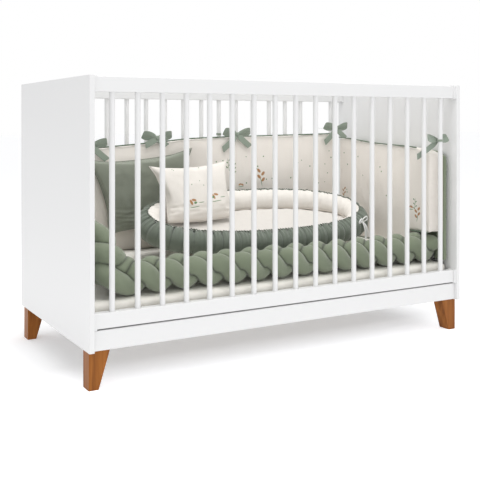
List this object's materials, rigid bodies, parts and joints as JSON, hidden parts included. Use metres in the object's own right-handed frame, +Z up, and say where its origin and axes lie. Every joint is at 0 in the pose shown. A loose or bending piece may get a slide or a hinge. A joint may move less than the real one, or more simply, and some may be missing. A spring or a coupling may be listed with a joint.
{
  "type": "baby crib",
  "caption": "White baby crib with solid end panels, round-slat grids, tapered wooden feet, a base that sets to several heights, mattress, bumpers, plaited bolster, nest and pillows.",
  "frame": {"origin": "middle of the footprint, on the floor", "axes": "+X along the length to the right, +Y to the rear, +Z up; the front grid faces -Y"},
  "size_m": [1.34, 0.68, 0.846],
  "materials": {
    "lacquer_white": "smooth satin lacquer on board and turned slats",
    "socket_plastic": "satin",
    "foot_wood": "clear satin varnish, upright grain",
    "base_wood": "plain, pale",
    "bracket_steel": "black powder coat",
    "bolt_steel": "zinc plated",
    "mattress_cover": "matte woven cotton",
    "cream_cloth": "matte woven cotton",
    "sage_cloth": "matte knit",
    "dark_green_cloth": "matte woven cotton",
    "ribbon": "woven ribbon, slight sheen"
  },
  "bodies": {
    "frame": {"front_slat_01": "lacquer_white", "front_slat_02": "lacquer_white", "front_slat_03": "lacquer_white", "front_slat_04": "lacquer_white", "front_slat_05": "lacquer_white", "front_slat_06": "lacquer_white", "front_slat_07": "lacquer_white", "front_slat_08": "lacquer_white", "front_slat_09": "lacquer_white", "front_slat_10": "lacquer_white", "front_slat_11": "lacquer_white", "front_slat_12": "lacquer_white", "front_slat_13": "lacquer_white", "front_slat_14": "lacquer_white", "front_slat_15": "lacquer_white", "front_slat_16": "lacquer_white", "front_slat_17": "lacquer_white", "rear_slat_01": "lacquer_white", "rear_slat_02": "lacquer_white", "rear_slat_03": "lacquer_white", "rear_slat_04": "lacquer_white", "rear_slat_05": "lacquer_white", "rear_slat_06": "lacquer_white", "rear_slat_07": "lacquer_white", "rear_slat_08": "lacquer_white", "rear_slat_09": "lacquer_white", "rear_slat_10": "lacquer_white", "rear_slat_11": "lacquer_white", "rear_slat_12": "lacquer_white", "rear_slat_13": "lacquer_white", "rear_slat_14": "lacquer_white", "rear_slat_15": "lacquer_white", "rear_slat_16": "lacquer_white", "rear_slat_17": "lacquer_white", "left_end_panel": "lacquer_white", "right_end_panel": "lacquer_white", "front_top_rail": "lacquer_white", "front_bottom_rail": "lacquer_white", "rear_top_rail": "lacquer_white", "rear_bottom_rail": "lacquer_white", "rail_end_sockets": "socket_plastic", "front_apron": "lacquer_white", "rear_apron": "lacquer_white", "legs": "foot_wood", "corner_blocks": "lacquer_white", "leg_bolts": "bolt_steel"},
    "bed_base": {"base_beams": "base_wood", "base_slats": "base_wood", "base_brackets": "bracket_steel", "base_bolts": "bolt_steel", "mattress": "mattress_cover", "bumper_rear": "cream_cloth", "bumper_right": "cream_cloth", "bumper_bows": "ribbon", "braid": "sage_cloth", "nest_roll": "dark_green_cloth", "nest_pad": "cream_cloth", "green_pillow": "dark_green_cloth", "print_pillow": "cream_cloth"}
  },
  "joints": [
    {"name": "base_height", "type": "slide", "parent": "frame", "child": "bed_base", "axis": [0, 0, 1], "range_m": [0, 0.1]}
  ]
}
